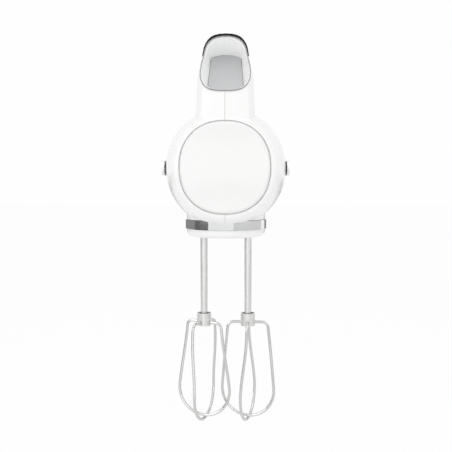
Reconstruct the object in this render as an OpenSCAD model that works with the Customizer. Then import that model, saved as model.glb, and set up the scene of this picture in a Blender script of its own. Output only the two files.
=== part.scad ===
// Hand mixer with a closed loop handle, two wire beaters and a worm drive.
// Upright as held in use: beaters down, nose towards -Y. The row's origin is the middle of the grip.
// The modules below draw in working coordinates: z = 0 is the underside of the base, and the two
// spindles stand in the plane y = 0.

/* [Barrel] */
// Largest radius of the barrel
barrel_r = 51.3; // [50:0.1:54]
// Height of the barrel's axis above the underside of the base
barrel_z = 58; // [57:0.5:61]
// How far the nose flat lies in front of the spindles
nose_y = 42; // [41:0.5:46]
// Radius of the nose flat
nose_r = 38.2; // [37.5:0.1:41]
// Where the barrel is widest, behind the spindles
widest_y = 6; // [2:1:12]
// How far the heel lies behind the spindles
heel_y = 150; // [146:1:160]
// Radius of the flat heel
heel_r = 20; // [17:1:26]
// Wall of the housing
wall = 2.6; // [2:0.1:3]

/* [Nose disc] */
// Half width of the raised disc on the nose
disc_half = 36.2; // [34:0.1:37]
// Half height of the disc, which is a little squarer than a circle
disc_high = 36.8; // [34:0.1:37.4]
// How far the disc stands proud of the nose flat
disc_proud = 1.6; // [1:0.1:3]
// Depth of the disc's seat in the nose
disc_seat = 2; // [1.5:0.1:2.2]
// Gap round the disc
disc_gap = 0.6; // [0.3:0.1:0.9]

/* [Base] */
// Radius of the ends of the oval base, at the band
base_r = 34.6; // [33:0.1:37]
// Distance between the centres of the base's two round ends
base_length = 36; // [30:1:44]
// Height of the underside cover below the band
cover_h = 7; // [6:0.5:9]
// Height of the bright band
band_h = 7.8; // [6:0.1:9]
// How far the band stands proud of the collar and the cover
band_proud = 0.9; // [0.5:0.1:1.5]
// Radius of the cover's lower edge
cover_round = 5.2; // [5:0.1:6.5]

/* [Handle] */
// Height of the top of the grip above the underside of the base
grip_top = 170.2; // [168:0.1:174]
// Height of the underside of the grip
grip_under = 141; // [138:0.5:143]
// Half width of the grip
grip_half = 17.6; // [17:0.1:20]
// Half width of the neck where the grip's bend begins
neck_half = 23.5; // [22.5:0.1:25]
// Half width of the neck at its foot
neck_foot_half = 24.7; // [24:0.1:27]
// Front of the neck at the bend, in front of the spindles
neck_front = 35; // [33:0.5:36]
// Back of the neck, behind the spindles
neck_back = 17; // [15:0.5:20]
// Front of the rear column, behind the spindles
column_front = 103; // [98:1:108]
// Back of the rear column, behind the spindles
column_back = 138; // [134:1:142]
// Radius of the corners of the hand opening
opening_round = 11; // [8:1:13]

/* [Scoop] */
// Height of the lower edge of the scoop's mouth
mouth_low_z = 118.4; // [116:0.1:121]
// How far back the mouth reaches at its top, in front of the spindles
mouth_top_front = 8.7; // [7:0.1:12]
// Radius of the hollow curve that the mouth is cut to
mouth_curve_r = 109; // [100:1:200]
// Width of the bright bead round the mouth
rim_w = 0.9; // [0.7:0.1:1.4]
// Depth of the scoop from its mouth to the paddle
scoop_depth = 15; // [13:0.5:17]
// Half width of the paddle at its top
paddle_top_half = 13; // [11:0.1:14]
// Half width of the paddle at its foot
paddle_foot_half = 15.4; // [14:0.1:16]
// Thickness of the gloss display panel
panel_t = 2; // [1.4:0.1:3]
// Lowest height of the display panel's sides
panel_low_z = 150; // [148:0.5:156]
// Back end of the display panel, behind the spindles
panel_back = 50; // [44:1:54]

/* [Eject] */
// Travel of the eject yoke
eject_travel = 6; // [5:0.5:6]
// Swing of the eject paddle in degrees
eject_swing = 16; // [14:1:16]

/* [Drive] */
// Distance between the two spindles
spindle_gap = 38; // [37:0.5:38.5]
// Height of the motor shaft
motor_z = 50; // [49:0.5:51]
// Gear module
gear_module = 1; // [0.95:0.01:1]
// Teeth on each worm gear
gear_teeth = 28; // [28:1:28]
// Face width of the worm gears
gear_w = 9; // [7:0.5:10]
// Length of the worm
worm_length = 18; // [14:1:20]
// Backlash, shared by the flanks
backlash = 0.5; // [0.4:0.05:0.6]
// Radius of the motor shaft
motor_shaft_r = 2.5; // [2:0.1:2.8]
// Outer radius of the hollow spindles
spindle_r = 5.2; // [4.9:0.1:5.4]
// Radial running clearance of shafts in bushes
running = 0.05; // [0.02:0.01:0.1]

/* [Motor] */
// Radius of the armature
armature_r = 14.5; // [13:0.1:15]
// Length of the laminated cores
core_length = 30; // [26:1:34]
// Start of the laminated cores behind the spindles
core_y = 52; // [51:1:54]
// Air gap between armature and stator
air_gap = 0.5; // [0.4:0.1:0.8]
// Slots in the armature
armature_slots = 12; // [9:1:16]
// Blades on the cooling fan
fan_blades = 9; // [7:1:13]
// Radius of the cooling fan
fan_r = 23; // [20:1:24]

/* [Beaters] */
// Radius of a beater's shaft
beater_shaft_r = 3; // [2.5:0.05:3.1]
// How far the shaft reaches up into the spindle
beater_insert = 44; // [40:1:46]
// Depth of the collar's top below the base
collar_top = 67; // [60:1:80]
// Height of the collar
collar_h = 10.8; // [10:0.1:12]
// Radius of the collar
collar_r = 6.25; // [6:0.05:7]
// Radius of the wire
wire_r = 1.3; // [0.9:0.05:1.4]
// Depth of the wires' tops below the base
wire_top = 74.9; // [74.5:0.1:82]
// Radius of the bowl that the wires are bent to
bowl_r = 23.4; // [20:0.1:24]
// Drop from the wires' tops to the centre of that bowl
bowl_drop = 59.5; // [50:0.5:70]
// Lean of the straight flanks in degrees
flank_lean = 6.3; // [5:0.1:8]
// Radius of the shoulder bend
shoulder_r = 5; // [4:0.1:6]
// Twist of the wires between shoulder and bowl in degrees
wire_twist = 12.5; // [0:0.5:20]
// Angle of the left beater's first loop at its bowl
left_phase = -18; // [-20:0.5:-16]
// Angle of the right beater's first loop at its bowl
right_phase = -16; // [-18:0.5:-14]

/* [Hidden] */
$fn = 64;

grip_mid_y = (neck_back + column_front) / 2;
grip_mid_z = (grip_under + grip_top) / 2;
fit = 0.2;            // gap between fixed pieces that only lie side by side
seam = 0.1;           // half the gap of the parting line
far = 400;            // longer than anything that it cuts
band_low = cover_h;
band_high = cover_h + band_h;
collar_out = base_r - band_proud;
gear_r = gear_module * gear_teeth / 2;
worm_r = spindle_gap / 2 - gear_r;
pitch = PI * gear_module;
starts = 2;
lead = starts * pitch;
addendum = 0.9 * gear_module;
dedendum = 1.3 * gear_module;
spindle_x = spindle_gap / 2;

// ---- shared geometry -------------------------------------------------------------------------

function lerp(a, b, t) = a + (b - a) * t;
function smooth(t) = let(u = min(1, max(0, t))) u * u * (3 - 2 * u);
function unit(v) = v / norm(v);

// Half width of a superellipse at the fraction u of its half height
function bulge(half, u, power) = half * pow(max(0, 1 - pow(min(1, abs(u)), power)), 1 / power);

// Faces of a skin over rings of n points each, m rings, every quad cut into two triangles
function skin_faces(n, m, closed, mirrored) = [
    for (i = [0 : m - (closed ? 1 : 2)], j = [0 : n - 1])
        let(a = i * n + j, b = i * n + (j + 1) % n,
            c = ((i + 1) % m) * n + (j + 1) % n, d = ((i + 1) % m) * n + j)
        each mirrored && j >= n / 2 ? [[a, b, d], [b, c, d]] : [[a, b, c], [a, c, d]]];

// Solid skinned over a list of rings: closed on itself, or with flat ends, or with ends that are
// laddered from side to side where a ring is symmetric but not flat
module skin(rings, closed = false, ladder = false) {
    n = len(rings[0]);
    m = len(rings);
    rungs = [for (i = [0 : n / 2 - 2]) [i, i + 1, n - 2 - i, n - 1 - i]];
    ends = closed ? []
        : ladder ? [for (r = rungs) each [[r[3], r[2], r[1], r[0]], [for (k = r) (m - 1) * n + k]]]
        : [[for (j = [n - 1 : -1 : 0]) j], [for (j = [0 : n - 1]) (m - 1) * n + j]];
    polyhedron(points = [for (ring = rings) each ring],
        faces = concat(skin_faces(n, m, closed, ladder), ends), convexity = 6);
}

// Ring of points round a centre, in the plane of two unit vectors
function ring_at(centre, u, v, r, sides, start = 0) =
    [for (k = [0 : sides - 1]) let(a = start - 360 * k / sides) centre + r * (cos(a) * u + sin(a) * v)];

// Lays a revolved solid along Y, at the height z, starting at the depth y
module along_y(y, z) translate([0, y, z]) rotate([-90, 0, 0]) children();

// A plain hole or rod along Y, X or Z
module rod_y(r, y0, y1, x = 0, z = 0) translate([x, y0, z]) rotate([-90, 0, 0]) cylinder(r = r, h = y1 - y0);
module rod_x(r, x0, x1, y = 0, z = 0) translate([x0, y, z]) rotate([0, 90, 0]) cylinder(r = r, h = x1 - x0);
module rod_z(r, z0, z1, x = 0, y = 0) translate([x, y, z0]) cylinder(r = r, h = z1 - z0);

// A box given by its lowest and highest corners
module block(low, high) translate(low) cube(high - low);

// Both of a pair that stands either side of the middle
module both_sides() {
    children();
    mirror([1, 0, 0]) children();
}

// ---- barrel ----------------------------------------------------------------------------------

shoulder_steps = 9;
tail_steps = 16;
tail_power = 2.2;

// Outline of the barrel from nose to heel as [radius, depth], drawn in by an inset
function barrel_outline(inset) = [
    [0, -nose_y + inset],
    for (i = [0 : shoulder_steps])
        let(t = 90 * i / shoulder_steps)
        [nose_r - inset + (barrel_r - nose_r) * sin(t),
            widest_y - (widest_y + nose_y - inset) * cos(t)],
    for (i = [1 : tail_steps])
        let(u = sin(90 * i / tail_steps))
        [heel_r - inset + bulge(barrel_r - heel_r, u, tail_power),
            lerp(widest_y, heel_y - inset, u)],
    [0, heel_y - inset]];

module barrel(inset) along_y(0, barrel_z) rotate_extrude() polygon(barrel_outline(inset));

// The oval column under the barrel: a stadium in plan
module oval(r, z0, z1) {
    rod_z(r, z0, z1);
    rod_z(r, z0, z1, y = base_length);
    block([-r, 0, z0], [r, base_length, z1]);
}

// ---- handle ----------------------------------------------------------------------------------

// The neck, grip and rear column are one sweep. At each bend its sections turn like pages about a
// pivot that lies in the hand opening, one opening_round away from the surface there.
front_pivot = [neck_back + opening_round, grip_under - opening_round];
rear_pivot = [column_front - opening_round, grip_under - opening_round];
grip_fall = 3;          // how much lower the grip's top is at its back
neck_power = 3.2;
grip_power = 2.3;
front_corner_power = 5.9;
rear_corner_power = 3;
bend_steps = 8;
handle_sides = 16;

// Distance from a pivot to the outer surface, for a page turned by the angle a
function outer_reach(reach_y, reach_z, power, a) =
    pow(pow(cos(a) / reach_y, power) + pow(sin(a) / reach_z, power), -1 / power);
function front_reach(a) =
    outer_reach(front_pivot[0] + neck_front, grip_top - front_pivot[1], front_corner_power, a);
function rear_reach(a) = outer_reach(column_back - rear_pivot[0],
    grip_top - grip_fall - rear_pivot[1], rear_corner_power, a);
function bend_half(a) = grip_half + (neck_half - grip_half) * pow(1 - sin(a), 1.9);
function bend_power(a) = lerp(neck_power, grip_power, sin(a));

// Front surface of the neck at a height: it leans back from the nose flat to the bend
neck_foot_z = barrel_z + disc_high - 1;
lean_z = neck_foot_z + 2.2;
function neck_front_y(z) = -neck_front - (nose_y - neck_front - 0.3)
    * (1 - pow(max(0, (z - lean_z) / (front_pivot[1] - lean_z)), 1.6));
function neck_half_at(z) = lerp(neck_foot_half, neck_half,
    smooth((z - neck_foot_z) / (front_pivot[1] - neck_foot_z)));

// One half ring of the sweep: from the inner edge u = -1 to the outer edge u = 1, half a width wide
function half_ring(middle, outward, half_depth, half_width, power) = [
    [-1, middle[0] - half_depth * outward[0], middle[1] - half_depth * outward[1]],
    for (i = [0 : handle_sides])
        let(u = -cos(180 * i / handle_sides), p = middle + half_depth * u * outward)
        [bulge(half_width, u, power), p[0], p[1]],
    [-1, middle[0] + half_depth * outward[0], middle[1] + half_depth * outward[1]]];

// A half ring on the page from a pivot, turned by the angle a
function page_ring(pivot, a, side, reach, half_width, power) =
    let(outward = [side * cos(a), sin(a)], depth = (reach - opening_round) / 2)
    half_ring(pivot + (opening_round + depth) * outward, outward, depth, half_width, power);

neck_heights = [62, neck_foot_z - 1, neck_foot_z + 3, neck_foot_z + 8, neck_foot_z + 14,
    neck_foot_z + 21, neck_foot_z + 28];
column_heights = [118, 108, 98, 84];
column_half = 19;

function neck_ring(z) = let(front = neck_front_y(max(z, neck_foot_z - 1)))
    half_ring([(front + neck_back) / 2, z], [-1, 0], (neck_back - front) / 2, neck_half_at(z), neck_power);
function column_ring(z) = let(back = column_back - 0.15 * (rear_pivot[1] - z))
    half_ring([(column_front + back) / 2, z], [1, 0], (back - column_front) / 2, column_half, grip_power);

handle_rings = [
    for (z = neck_heights) neck_ring(z),
    for (i = [0 : bend_steps]) let(a = 90 * i / bend_steps)
        page_ring(front_pivot, a, -1, front_reach(a), bend_half(a), bend_power(a)),
    for (i = [bend_steps : -1 : 0]) let(a = 90 * i / bend_steps)
        page_ring(rear_pivot, a, 1, rear_reach(a), lerp(column_half, grip_half, sin(a)), grip_power),
    for (z = column_heights) column_ring(z)];

module half_handle() skin(handle_rings);

// Half width of the head where the page through the point [y, z] meets it
function head_half(y, z) =
    z <= front_pivot[1]
    ? let(front = neck_front_y(z), middle = (front + neck_back) / 2)
        bulge(neck_half_at(z), (middle - y) / (middle - front), neck_power)
    : let(d = [front_pivot[0] - y, z - front_pivot[1]], a = atan2(d[1], d[0]),
            depth = (front_reach(a) - opening_round) / 2)
        bulge(bend_half(a), (norm(d) - opening_round - depth) / depth, bend_power(a));

// ---- mouth of the scoop ----------------------------------------------------------------------

// The mouth is cut by a large cylinder in front of the head. It meets the head's outline at
// mouth_low at the bottom and mouth_high at the top.
mouth_low = [neck_front_y(mouth_low_z), mouth_low_z];
top_page = atan2(grip_top - front_pivot[1], front_pivot[0] + mouth_top_front);
mouth_high = front_pivot + front_reach(top_page) * [-cos(top_page), sin(top_page)];
mouth_chord = mouth_high - mouth_low;
mouth_front = unit([-mouth_chord[1], mouth_chord[0]]);
mouth_centre = (mouth_low + mouth_high) / 2
    + mouth_front * sqrt(pow(mouth_curve_r, 2) - pow(norm(mouth_chord) / 2, 2));
mouth_start = atan2(mouth_low[1] - mouth_centre[1], mouth_low[0] - mouth_centre[0]);
mouth_end = atan2(mouth_high[1] - mouth_centre[1], mouth_high[0] - mouth_centre[0]);

// Point and outward direction of the mouth at the fraction s of the way up, as [y, z]
function mouth_out(s) = let(a = lerp(mouth_start, mouth_end, s)) -[cos(a), sin(a)];
function mouth_point(s, sunk = 0) = mouth_centre - (mouth_curve_r + sunk) * mouth_out(s);

// The display panel is flush with the head. The head under it is the same sweep drawn in: by
// panel_t at the top and by panel_lip at the sides.
panel_lip = 0.6;
under_top = grip_top - panel_t;
function under_reach(a, g) = outer_reach(front_pivot[0] + neck_front - panel_t - g,
    under_top - g - front_pivot[1], front_corner_power, a);
function under_power(a) = bend_power(a) - 0.15;
function under_width(y, z, g) = let(d = [front_pivot[0] - y, z - front_pivot[1]],
        a = atan2(d[1], d[0]), depth = (under_reach(a, g - 0.2) - opening_round) / 2)
    bulge(bend_half(a) - panel_lip - g, (norm(d) - opening_round - depth) / depth, under_power(a));
module under_panel(g) skin([
    for (i = [0 : bend_steps]) let(a = 90 * i / bend_steps)
        page_ring(front_pivot, a, -1, under_reach(a, g), bend_half(a) - panel_lip - g, under_power(a)),
    page_ring(rear_pivot, 90, 1, rear_reach(90) - panel_t - g, grip_half - panel_lip - g, under_power(90))]);

// The mouth's outline, up one side and down the other, drawn in by an inset and sunk into the
// head. Under the panel it keeps to the inside of the panel.
mouth_steps = 18;
mouth_turns = [for (i = [1 : mouth_steps]) 180 * (i - 0.5) / mouth_steps];
mouth_tail = 0.1;
mouth_slope = (mouth_high[1] - mouth_point(1 - mouth_tail)[1]) / mouth_tail;
function mouth_last(inset) = 1 - (panel_t + fit + inset) / mouth_slope;
function mouth_rise(t, inset) = lerp(inset / norm(mouth_chord), mouth_last(inset), (1 - cos(t)) / 2);
function mouth_half(s, inset, t) = let(p = mouth_point(s), q = mouth_point((1 - cos(t)) / 2))
    min(head_half(q[0], q[1]) - inset - (panel_lip + fit) * smooth((p[1] - panel_low_z + 8) / 8),
        p[1] > panel_low_z ? under_width(p[0], p[1], fit + inset) : far);
function mouth_ring(inset, sunk) = let(
        side = [for (t = mouth_turns)
            let(s = mouth_rise(t, inset), p = mouth_point(s, sunk), x = mouth_half(s, inset, t))
            [max(0.5, x), p[0], p[1]]])
    concat(side, [for (i = [len(side) - 1 : -1 : 0]) [-side[i][0], side[i][1], side[i][2]]]);

module mouth_cutter(extra = 0)
    rod_x(mouth_curve_r + extra, -far / 4, far / 4, mouth_centre[0], mouth_centre[1]);

// ---- paddle and scoop ------------------------------------------------------------------------

paddle_low = mouth_point(0.12, scoop_depth);
paddle_high = mouth_point(0.745, scoop_depth);
paddle_up = unit(paddle_high - paddle_low);
paddle_out = [-paddle_up[1], paddle_up[0]];
paddle_height = norm(paddle_high - paddle_low);
paddle_crown = 5;        // rise of the arch on top of the paddle
paddle_t = 2.4;
liner_t = 1.2;
paddle_gap = 0.3;

// Outline of the paddle's face in its own plane: [x, height], with as many points as the mouth's
function paddle_outline(grow) = let(
        side = [for (i = [0 : mouth_steps - 1])
            let(t = i / (mouth_steps - 1), v = min(1, t / 0.72), w = max(0, (t - 0.72) / 0.28))
            [(lerp(paddle_foot_half, paddle_top_half, v) + grow) * cos(80 * w) ,
                lerp(-grow, paddle_height, v) + (paddle_crown + grow) * sin(80 * w)]])
    concat(side, [for (i = [len(side) - 1 : -1 : 0]) [-side[i][0], side[i][1]]]);
function paddle_place(p, out) = let(q = paddle_low + p[1] * paddle_up + out * paddle_out) [p[0], q[0], q[1]];
function paddle_ring(grow, out) = [for (p = paddle_outline(grow)) paddle_place(p, out)];

// Lays pieces against the paddle: X across it, Y back from its face, Z up along it
module on_paddle() translate([0, paddle_low[0], paddle_low[1]])
    rotate([-atan2(paddle_up[0], paddle_up[1]), 0, 0]) children();

// Funnel from the mouth back to the paddle and past it, as a solid
module funnel(inset, grow, front, back)
    skin([mouth_ring(inset, -front), paddle_ring(grow, 0), paddle_ring(grow, -back)], ladder = true);

// The paddle turns on a pin that lies behind and below its foot
pin_behind = 6;
pin_below = 3;
pin_at = paddle_low - pin_below * paddle_up - pin_behind * paddle_out;
pin_r = 1.5;
pin_half = paddle_foot_half + 5;
arm_reach = eject_travel / (eject_swing * PI / 180);
arm_y = pin_at[0] + arm_reach;
arm_half = 4;
arm_tip_r = 3.05;
hub_half = paddle_top_half - 1;
yoke_top = pin_at[1] - arm_tip_r - 0.15;

// ---- housing ---------------------------------------------------------------------------------

// Outline of the disc and of its seat, grown by g, at the depth y
disc_power = 2.23;
disc_edge = 2.2;
disc_sides = 64;
function disc_ring(g, y) = [for (i = [0 : disc_sides - 1])
    let(t = 360 * (i + 0.5) / disc_sides, k = 2 / disc_power, c = cos(t), s = sin(t))
    [(disc_half + g) * sign(c) * pow(abs(c), k), y, barrel_z + (disc_high + g) * sign(s) * pow(abs(s), k)]];

// Height of the grip's top over a depth
function grip_top_at(y) = grip_top - grip_fall * (y - front_pivot[0]) / (rear_pivot[0] - front_pivot[0]);
slot_y = [panel_back + 6, panel_back + 28];
slot_half = 3.2;
turbo_y = slot_y[1] + 10;
turbo_r = 6;
gland_z = 122;
gland_r = 5.5;
gland_out = 9;
gland_face = column_back - 0.15 * (rear_pivot[1] - gland_z);
screw_r = 1.5;
screw_head_r = 2.9;
screw_spots = [[-16, 84], [44, 88], [130, 58], [100, 28], [column_front + 15, 118]];
cable_r = 3.4;

module inner_space() {
    barrel(wall);
    oval(collar_out - wall, band_low - 1, barrel_z - 20);
    // hollow of the neck for the paddle and the yoke
    block([-neck_hollow, paddle_low[0] - 1, 96], [neck_hollow, neck_back - 9.5, grip_under - 2]);
    block([-10, 0, 96], [10, neck_back - 2.5, grip_under - 2]);
    block([-paddle_top_half - 0.6, 0, grip_under - 6],
        [paddle_top_half + 0.6, neck_back - 1.5, grip_under + 7]);
    // room over the hand opening for the top of the pressed paddle
    block([-10.5, 0, grip_under + 1.6], [10.5, neck_back + 1, grip_under + 7]);
    block([-neck_hollow, -neck_front + 2, 90], [neck_hollow, -15, mouth_low_z - 10]);
    // hollow of the grip, and of the rear column for the leads
    block([-14, 0, grip_under + 5], [14, column_front - 4, grip_under + 20]);
    block([-12, column_front + 6, 96], [12, column_back - 12, grip_under + 12]);
    block([-12, column_front - 6, grip_under + 5], [12, column_front + 8, grip_under + 16]);
}

module housing_solid() {
    barrel(0);
    oval(collar_out, band_high, barrel_z - 20);
    oval(collar_out - wall - fit, band_low + 1, band_high + 1);
    half_handle();
}

neck_hollow = paddle_foot_half + 0.8;
screw_boss_r = 4;
module screw_bosses() for (spot = screw_spots) rod_x(screw_boss_r, -far / 8, far / 8, spot[0], spot[1]);

// Ledges inside each half that hold the gear frame from below and from above
module ledges() {
    block([spindle_x + bush_r + 2, -11, frame_low - 3 - fit], [far / 8, 13, frame_low - fit]);
    block([frame_x - 5, -11, cap_top + fit], [far / 8, 13, cap_top + 3]);
}

// The right half; the left one is its mirror image
module half_housing() difference() {
    intersection() {
        housing_solid();
        block([seam, -far, -far], [far, far, far]);
    }
    difference() {
        inner_space();
        screw_bosses();
        ledges();
    }
    oval(base_r + fit, -far, band_high);
    mouth_cutter();
    funnel(0, liner_t + paddle_gap + 0.35, 0.6, 12);
    skin([disc_ring(disc_gap + 1, -nose_y - 8), disc_ring(disc_gap + 1, -nose_y),
        disc_ring(disc_gap + 0.3, -nose_y + 0.3), disc_ring(disc_gap, -nose_y + 1),
        disc_ring(disc_gap, -nose_y + disc_seat)]);
    rod_y(heel_r - 3, heel_y - 1.5, heel_y + 9, z = barrel_z);
    // seat of the display panel
    difference() {
        block([-far, -far / 4, panel_low_z - fit], [far, panel_back + fit, far]);
        under_panel(fit);
    }
    // window of the display, slot of the slider and hole of the turbo button
    block([-display_half - fit, display_y[0] - fit, board_z], [display_half + fit, display_y[1] + fit, far]);
    block([-slot_half, slot_y[0], board_z], [slot_half, slot_y[1], far]);
    rod_z(turbo_r, board_z, far, y = turbo_y);
    rod_y(gland_r, gland_face - 12, far, z = gland_z);
    rod_y(gland_r + 1.9, gland_face, far, z = gland_z);
    rod_x(pin_r, 0, pin_half + 0.4, pin_at[0], pin_at[1]);
    // badge seat
    rod_x(2, barrel_r - 2, far, widest_y, barrel_z);
    for (spot = screw_spots) rod_x(screw_r + fit, 0, 14, spot[0], spot[1]);
}

module right_housing() color("white") half_housing();

module left_housing() color("white") difference() {
    mirror([1, 0, 0]) half_housing();
    for (spot = screw_spots) rod_x(screw_head_r + fit, -far, -8, spot[0], spot[1]);
}

module housing_screws() color("silver") for (spot = screw_spots) {
    rod_x(screw_r, -8.5, 12, spot[0], spot[1]);
    rod_x(screw_head_r, -10.2, -8.2, spot[0], spot[1]);
}

// Slightly domed disc with a rounded edge
module nose_disc() color("white") skin([
    disc_ring(0, -nose_y + disc_seat - fit),
    for (i = [0 : 5])
        disc_ring(-disc_edge * (1 - cos(18 * i)), disc_edge * (1 - sin(18 * i)) - nose_y - disc_proud),
    for (i = [1 : 6])
        disc_ring(-disc_edge - (disc_half - disc_edge) * 0.16 * i,
            -nose_y - disc_proud - 1.4 * sin(15 * i))]);

module heel_pad() color("dimgray") along_y(0, barrel_z) rotate_extrude() {
    inner = heel_r - 3 - fit;
    polygon([[0, heel_y - 1.5 + fit], [inner, heel_y - 1.5 + fit], [inner, heel_y],
        [heel_r - 2, heel_y + 0.1], [heel_r - 2, heel_y + 1.6],
        [heel_r - 2.8, heel_y + 2.4], [0, heel_y + 2.4]]);
}

// A plain bright pill on each side
module side_badges() color("silver") both_sides() {
    rod_x(2 - fit / 2, barrel_r - 1.8, barrel_r + 1, widest_y, barrel_z);
    translate([barrel_r + fit, widest_y, barrel_z]) rotate([0, 90, 0]) linear_extrude(1.9) {
        translate([0, -14]) circle(r = 6.2);
        translate([0, 14]) circle(r = 6.2);
        square([12.4, 28], center = true);
    }
}

module cord_gland() color("gainsboro") difference() {
    along_y(0, gland_z) rotate_extrude() polygon([[0, gland_face - 11], [gland_r - 0.1, gland_face - 11],
        [gland_r - 0.1, gland_face + 0.2], [gland_r + 1.6, gland_face + 0.2],
        [gland_r + 1.6, gland_face + 2],
        [gland_r - 0.8, gland_face + gland_out], [0, gland_face + gland_out]]);
    rod_y(cable_r, column_front, far, z = gland_z);
}

// ---- base ------------------------------------------------------------------------------------

// Solid of a half outline [radius, height] swept round the oval base
module round_oval(outline) {
    rotate([0, 0, 180]) rotate_extrude(angle = 180) polygon(outline);
    translate([0, base_length, 0]) rotate_extrude(angle = 180) polygon(outline);
    translate([0, base_length, 0]) rotate([90, 0, 0]) linear_extrude(base_length)
        polygon(concat(outline, [for (i = [len(outline) - 1 : -1 : 0]) [-outline[i][0], outline[i][1]]]));
}

cover_top_r = collar_out - 0.2;
cover_outline = [[0, 0], for (i = [0 : 8]) [cover_top_r - cover_round * (1 - sin(90 * i / 8)),
        cover_round * (1 - cos(90 * i / 8))], [cover_top_r, cover_h - fit], [0, cover_h - fit]];
socket_hole_r = spindle_r + 0.35;
base_screw_spots = [[0, -18], [-22, 22], [22, 22]];

module base_cover() color("white") difference() {
    union() {
        difference() {
            round_oval(cover_outline);
            oval(collar_out - 2 * wall - 3, wall, cover_h + 1);
        }
        for (x = [-spindle_x, spindle_x]) rod_z(bush_r + 2.6, 0.5, cover_h - fit, x);
        for (spot = base_screw_spots) rod_z(4, 0.5, cover_h - fit, spot[0], spot[1]);
    }
    for (x = [-spindle_x, spindle_x]) {
        rod_z(socket_hole_r, -1, 3, x);
        rod_z(bush_r, 2, far, x);
    }
    for (spot = base_screw_spots) {
        rod_z(screw_r + fit, -1, far, spot[0], spot[1]);
        rod_z(screw_head_r + fit, -1, 2.2, spot[0], spot[1]);
    }
}

module base_band() color("silver") difference() {
    oval(base_r, band_low, band_high - fit);
    oval(collar_out - wall, band_low - 1, band_high);
}

// ---- scoop, paddle and panel -----------------------------------------------------------------

// Bead of octagonal section that lies on the edge of the mouth
module scoop_rim() color("silver") {
    points = mouth_ring(rim_w / 2, -rim_w / 2 - 0.1);
    n = len(points);
    skin([for (i = [0 : n - 1])
        let(along = unit(points[(i + 1) % n] - points[(i + n - 1) % n]),
            s = mouth_rise(mouth_turns[i < mouth_steps ? i : n - 1 - i], rim_w / 2),
            out = [0, mouth_out(s)[0], mouth_out(s)[1]],
            side = unit(cross(along, out)))
        ring_at(points[i], side, cross(side, along), rim_w / 2, 6)], closed = true);
}

module scoop_liner() color("whitesmoke") difference() {
    funnel(0.5, liner_t + paddle_gap, -0.2, paddle_t);
    skin([mouth_ring(0.5 + liner_t, -6), mouth_ring(0.5 + liner_t, 0.2), paddle_ring(paddle_gap, 0),
        paddle_ring(paddle_gap, -10)], ladder = true);
}

module eject_paddle() color("lightgray") {
    difference() {
        union() {
            on_paddle() translate([0, paddle_t, 0]) rotate([90, 0, 0]) linear_extrude(paddle_t)
                polygon(paddle_outline(0));
            rod_x(pin_r + 2, -hub_half, hub_half, pin_at[0], pin_at[1]);
            on_paddle() block([-hub_half, paddle_t - 0.4, 1], [hub_half, pin_behind + 2, 7]);
            on_paddle() block([-hub_half, pin_behind - 2, -pin_below], [hub_half, pin_behind + 2, 6]);
            block([-arm_half, pin_at[0], pin_at[1] - 3], [arm_half, arm_y - 1, pin_at[1] + 3]);
            rod_x(arm_tip_r, -arm_half, arm_half, arm_y, pin_at[1]);
        }
        rod_x(pin_r + running, -far / 8, far / 8, pin_at[0], pin_at[1]);
    }
}

module paddle_pin() color("silver")
    rod_x(pin_r - running / 2, -pin_half, pin_half, pin_at[0], pin_at[1]);

module display_panel() color("black") difference() {
    intersection() {
        both_sides() half_handle();
        block([-far, -far, panel_low_z], [far, panel_back, far]);
    }
    both_sides() under_panel(0);
    mouth_cutter();
}

// ---- controls --------------------------------------------------------------------------------

board_z = grip_under + 12;
display_half = 8;
display_y = [14, panel_back - 12];

module control_board() color("green") block([-12, 8, board_z], [12, turbo_y + 7, board_z + 1.6]);

module display_module() color("dimgray")
    block([-display_half, display_y[0], board_z + 1.8], [display_half, display_y[1], under_top - 1.9]);

module slider_switch() color("dimgray") difference() {
    block([-5, slot_y[0] + 1, board_z + 1.8], [5, slot_y[1] - 1, grip_under + 18]);
    block([-1.6, slot_y[0] + 2.5, board_z + 3.4], [1.6, slot_y[1] - 2.5, far]);
}

module turbo_switch() color("dimgray") {
    block([-4, turbo_y - 3, board_z + 1.8], [4, turbo_y + 3, board_z + 4.6]);
    rod_z(1.2, board_z + 4.5, board_z + 5.6, y = turbo_y);
}

slider_travel = slot_y[1] - slot_y[0] - 8;
slider_y = slot_y[0] + 4;
slider_z = grip_top_at(slider_y) + 0.3;

// Thumb piece of the speed slider: a ribbed saddle on a neck that runs in the slot
module speed_slider() color("silver") {
    block([-1.4, slider_y - 1.2, board_z + 3.8], [1.4, slider_y + 1.2, slider_z - 6]);
    block([-slot_half + 0.4, slider_y - 3.6, slider_z - 7.5],
        [slot_half - 0.4, slider_y + 3.6, slider_z + 0.6]);
    block([-7, slider_y - 5, slider_z], [7, slider_y + 5, slider_z + 1.4]);
    for (y = [-4 : 2 : 4]) rod_x(0.7, -6.4, 6.4, slider_y + y, slider_z + 1.4);
}

turbo_travel = 1.6;
turbo_top = grip_top_at(turbo_y) + 0.9;
module turbo_button() color("silver") {
    rod_z(turbo_r - 0.3, turbo_top - 7, turbo_top, y = turbo_y);
    rod_z(1.6, board_z + 5.8 + turbo_travel, turbo_top - 6, y = turbo_y);
}

// ---- eject yoke ------------------------------------------------------------------------------

yoke_z = 72;
yoke_t = 4;
pin_head_z = yoke_z - 0.3;
cap_top = 59;
guide_r = 1.6;
guide_boss_r = 3.2;
guide_boss_top = cap_top + 5.5;

module eject_yoke() color("whitesmoke") {
    block([-spindle_x - 4, -3.5, yoke_z], [spindle_x + 4, 3.5, yoke_z + yoke_t]);
    rod_z(guide_r, guide_boss_top - 2.3, yoke_z + 1);
    block([-3, -3, yoke_z + 1], [3, 3, yoke_top - 2]);
    block([-arm_half, -3, yoke_top - 4], [arm_half, arm_y + 3, yoke_top]);
}

spring_wire_r = 0.5;
spring_r = 4.2;
spring_coils = 4;

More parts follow.
